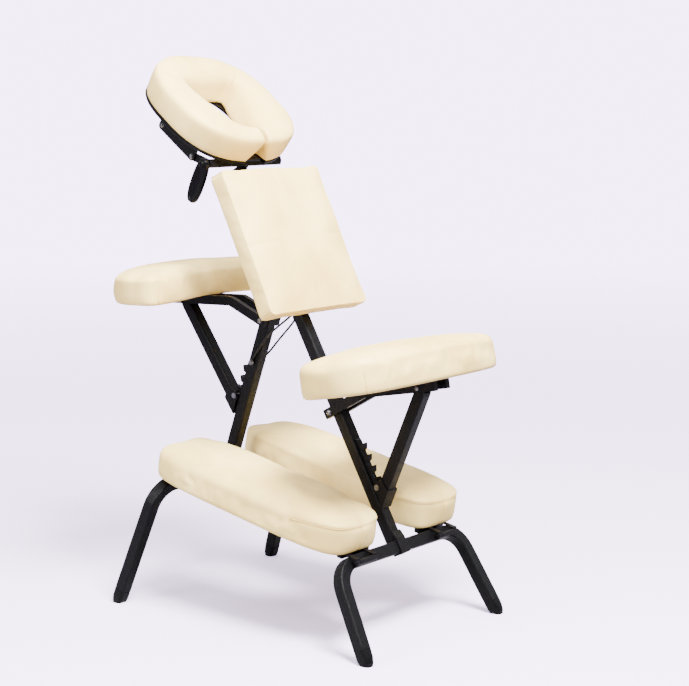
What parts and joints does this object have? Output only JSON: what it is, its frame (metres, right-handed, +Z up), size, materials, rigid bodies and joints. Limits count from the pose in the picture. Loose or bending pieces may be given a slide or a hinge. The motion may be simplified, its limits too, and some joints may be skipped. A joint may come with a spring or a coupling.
{
  "type": "kneeling massage chair",
  "caption": "Folding kneeling massage chair: leaning A-frame of square steel tube with padded seat, knee rests, chest pad, armrest and face cradle.",
  "frame": {"origin": "on the floor under the middle of the chair's outline", "axes": "+Z up; +X across the chair to the sitter's left; -Y the way the sitter faces, towards the armrest and face cradle"},
  "size_m": [0.5234, 0.8125, 1.1663],
  "materials": {
    "powder_coat": "textured black powder coat",
    "zinc_steel": "zinc plated",
    "black_plastic": "moulded, glossy",
    "cream_leather": "soft PU leather, fine grain",
    "plywood": "raw birch plywood",
    "coated_cable": "plastic-coated wire"
  },
  "bodies": {
    "frame": {"main_beam": "powder_coat", "rear_base": "powder_coat", "rear_foot_left": "black_plastic", "rear_foot_right": "black_plastic", "beam_saddle": "powder_coat", "seat_rack": "powder_coat", "frame_hinge_bracket": "powder_coat", "frame_hinge_bolt": "zinc_steel", "cable_anchor": "powder_coat", "knee_hinge_lug_left": "powder_coat", "knee_hinge_lug_right": "powder_coat"},
    "front_frame": {"front_base": "powder_coat", "front_foot_left": "black_plastic", "front_foot_right": "black_plastic", "front_strut": "powder_coat", "strut_saddle": "powder_coat", "armrest_rack": "powder_coat", "cable_bolt": "zinc_steel", "stay_cable": "coated_cable"},
    "seat_pivot": {"seat_pivot_bolt": "zinc_steel"},
    "seat": {"seat_pad": "cream_leather", "seat_board": "plywood", "seat_arm_left": "powder_coat", "seat_arm_right": "powder_coat"},
    "seat_strut_pivot": {"seat_strut_bolt": "zinc_steel"},
    "seat_prop": {"seat_strut": "powder_coat", "seat_strut_clip": "powder_coat", "seat_strut_pin": "zinc_steel"},
    "armrest_pivot": {"armrest_pivot_bolt": "zinc_steel"},
    "armrest": {"armrest_pad": "cream_leather", "armrest_board": "plywood", "armrest_arm_left": "powder_coat", "armrest_arm_right": "powder_coat"},
    "armrest_strut_pivot": {"armrest_strut_bolt": "zinc_steel"},
    "armrest_prop": {"armrest_strut": "powder_coat", "armrest_strut_clip": "powder_coat", "armrest_strut_pin": "zinc_steel"},
    "knee_left": {"knee_left_pad": "cream_leather", "knee_left_board": "plywood", "knee_hinge_left": "powder_coat"},
    "knee_right": {"knee_right_pad": "cream_leather", "knee_right_board": "plywood", "knee_hinge_right": "powder_coat"},
    "chest": {"chest_pad": "cream_leather", "chest_board": "plywood", "chest_carriage": "powder_coat"},
    "chest_clamp": {"chest_knob": "black_plastic"},
    "post_clamp": {"post_knob": "black_plastic"},
    "cradle_mast": {"cradle_post": "powder_coat", "cradle_yoke": "powder_coat", "cradle_pivot_bolt_left": "zinc_steel", "cradle_pivot_bolt_right": "zinc_steel", "cam_lever_bolt": "black_plastic"},
    "face_cradle": {"cradle_pad": "cream_leather", "cradle_plate": "black_plastic", "cradle_rail_left": "powder_coat", "cradle_rail_right": "powder_coat", "cradle_rail_bolt_left": "zinc_steel", "cradle_rail_bolt_right": "zinc_steel"},
    "lever": {"cam_lever": "black_plastic"}
  },
  "joints": [
    {"name": "frame_fold", "type": "hinge", "parent": "frame", "child": "front_frame", "pos_m": [0, -0.04848, 0.68253], "axis": [-1, 0, 0], "range_deg": [-45, 0], "deforming": ["stay_cable"]},
    {"name": "knee_left_fold", "type": "hinge", "parent": "frame", "child": "knee_left", "pos_m": [0.134, 0.30582, 0.17883], "axis": [1, 0, 0], "range_deg": [-26.1, 0]},
    {"name": "knee_right_fold", "type": "hinge", "parent": "frame", "child": "knee_right", "pos_m": [-0.134, 0.30582, 0.17883], "axis": [1, 0, 0], "range_deg": [-26.1, 0]},
    {"name": "seat_fold", "type": "hinge", "parent": "frame", "child": "seat_pivot", "pos_m": [0, 0.1181, 0.4365], "axis": [1, 0, 0], "range_deg": [-60, 0]},
    {"name": "seat_lift", "type": "hinge", "parent": "seat_pivot", "child": "seat", "pos_m": [0, 0.1181, 0.4365], "axis": [1, 0, 0], "range_deg": [0, 10.34]},
    {"name": "seat_strut_fold", "type": "hinge", "parent": "seat", "child": "seat_strut_pivot", "pos_m": [0, 0.3466, 0.5135], "axis": [1, 0, 0], "range_deg": [0, 105]},
    {"name": "seat_strut_swing", "type": "hinge", "parent": "seat_strut_pivot", "child": "seat_prop", "pos_m": [0, 0.3466, 0.5135], "axis": [1, 0, 0], "range_deg": [0, 35]},
    {"name": "armrest_fold", "type": "hinge", "parent": "front_frame", "child": "armrest_pivot", "pos_m": [0, -0.0762, 0.611], "axis": [1, 0, 0], "range_deg": [0, 56]},
    {"name": "armrest_lift", "type": "hinge", "parent": "armrest_pivot", "child": "armrest", "pos_m": [0, -0.0762, 0.611], "axis": [1, 0, 0], "range_deg": [-9.27, 0]},
    {"name": "armrest_strut_fold", "type": "hinge", "parent": "armrest", "child": "armrest_strut_pivot", "pos_m": [0, -0.3184, 0.6355], "axis": [1, 0, 0], "range_deg": [-100.8, 0]},
    {"name": "armrest_strut_swing", "type": "hinge", "parent": "armrest_strut_pivot", "child": "armrest_prop", "pos_m": [0, -0.3184, 0.6355], "axis": [1, 0, 0], "range_deg": [-35, 0]},
    {"name": "chest_slide", "type": "slide", "parent": "frame", "child": "chest", "axis": [0, -0.4939, 0.8695], "range_m": [-0.04, 0]},
    {"name": "chest_knob_turn", "type": "hinge", "parent": "chest", "child": "chest_clamp", "pos_m": [0, -0.07706, 0.79559], "axis": [0, -0.8695, -0.4939], "range_deg": [-180, 0]},
    {"name": "post_knob_turn", "type": "hinge", "parent": "frame", "child": "post_clamp", "pos_m": [0, -0.11163, 0.85645], "axis": [0, -0.8695, -0.4939], "range_deg": [-180, 0]},
    {"name": "cradle_height", "type": "slide", "parent": "frame", "child": "cradle_mast", "axis": [0, -0.4939, 0.8695], "range_m": [0, 0.06]},
    {"name": "cradle_tilt", "type": "hinge", "parent": "cradle_mast", "child": "face_cradle", "pos_m": [0, -0.1864, 0.959], "axis": [1, 0, 0], "range_deg": [0, 30]},
    {"name": "cam_lever_swing", "type": "hinge", "parent": "cradle_mast", "child": "lever", "pos_m": [0.121, -0.1424, 0.945], "axis": [1, 0, 0], "range_deg": [-45, 0]}
  ],
  "couplings": [
    {"joint": "knee_left_fold", "follows": "frame_fold", "ratio": 0.58},
    {"joint": "knee_right_fold", "follows": "frame_fold", "ratio": 0.58},
    {"joint": "seat_strut_fold", "follows": "seat_fold", "ratio": -1.75},
    {"joint": "armrest_strut_fold", "follows": "armrest_fold", "ratio": -1.8}
  ]
}
